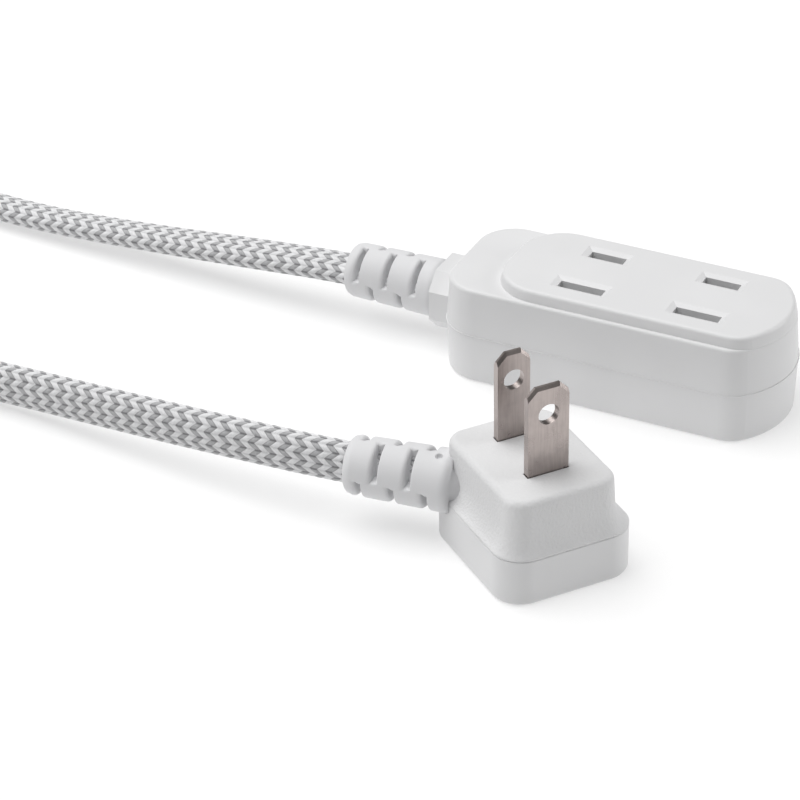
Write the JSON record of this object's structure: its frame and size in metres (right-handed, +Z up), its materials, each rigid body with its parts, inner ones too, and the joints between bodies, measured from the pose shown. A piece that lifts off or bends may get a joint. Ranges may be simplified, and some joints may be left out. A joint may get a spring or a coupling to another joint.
{
  "type": "extension cord",
  "caption": "Indoor extension cord: a flat bar with polarised parallel-blade outlets, a braided flat lead with slotted strain reliefs, and a low plug with the cord leaving by its corner.",
  "frame": {"origin": "on the surface that the outlet bar lies on, midway between its two outlets", "axes": "+Z up out of the outlet face, +X along the bar away from its cord end"},
  "size_m": [0.3075, 0.1128, 0.0378],
  "materials": {
    "white_plastic": "satin moulded white",
    "face_plastic": "fine satin white",
    "textured_plastic": "fine spark texture, white",
    "carrier_plastic": "satin, natural",
    "shutter_plastic": "satin white",
    "relief_rubber": "satin white flexible vinyl",
    "contact_brass": "rolled sheet",
    "blade_nickel": "brushed nickel plate",
    "spring_steel": "bright strip",
    "lead_insulation_white": "soft vinyl",
    "lead_insulation_black": "soft vinyl",
    "braid": "woven, white with grey zigzag",
    "tie_strap": "woven hook and loop strap"
  },
  "bodies": {
    "cord_set": {"lower_housing": "white_plastic", "upper_housing": "white_plastic", "face_plate": "face_plastic", "contact_carrier": "carrier_plastic", "neutral_contact_strip": "contact_brass", "hot_contact_strip": "contact_brass", "bar_neutral_lead": "lead_insulation_white", "bar_hot_lead": "lead_insulation_black", "bar_strain_relief": "relief_rubber", "shutter_spring_1": "spring_steel", "shutter_spring_2": "spring_steel", "plug_back_cover": "white_plastic", "plug_front_cover": "textured_plastic", "blade_carrier": "carrier_plastic", "neutral_blade": "blade_nickel", "hot_blade": "blade_nickel", "plug_neutral_lead": "lead_insulation_white", "plug_hot_lead": "lead_insulation_black", "plug_strain_relief": "relief_rubber", "cord_bar_side": "braid", "cord_plug_side": "braid", "cord_coil": "braid", "coil_tie": "tie_strap"},
    "shutter_1": {"shutter_1": "shutter_plastic"},
    "shutter_2": {"shutter_2": "shutter_plastic"}
  },
  "joints": [
    {"name": "shutter_1_slide", "type": "slide", "parent": "cord_set", "child": "shutter_1", "axis": [0, 1, 0], "range_m": [0, 0.0026], "stiffness_N_per_m": 60, "springref_m": -0.004, "deforming": ["shutter_spring_1"]},
    {"name": "shutter_2_slide", "type": "slide", "parent": "cord_set", "child": "shutter_2", "axis": [0, 1, 0], "range_m": [0, 0.0026], "stiffness_N_per_m": 60, "springref_m": -0.004, "deforming": ["shutter_spring_2"]}
  ]
}
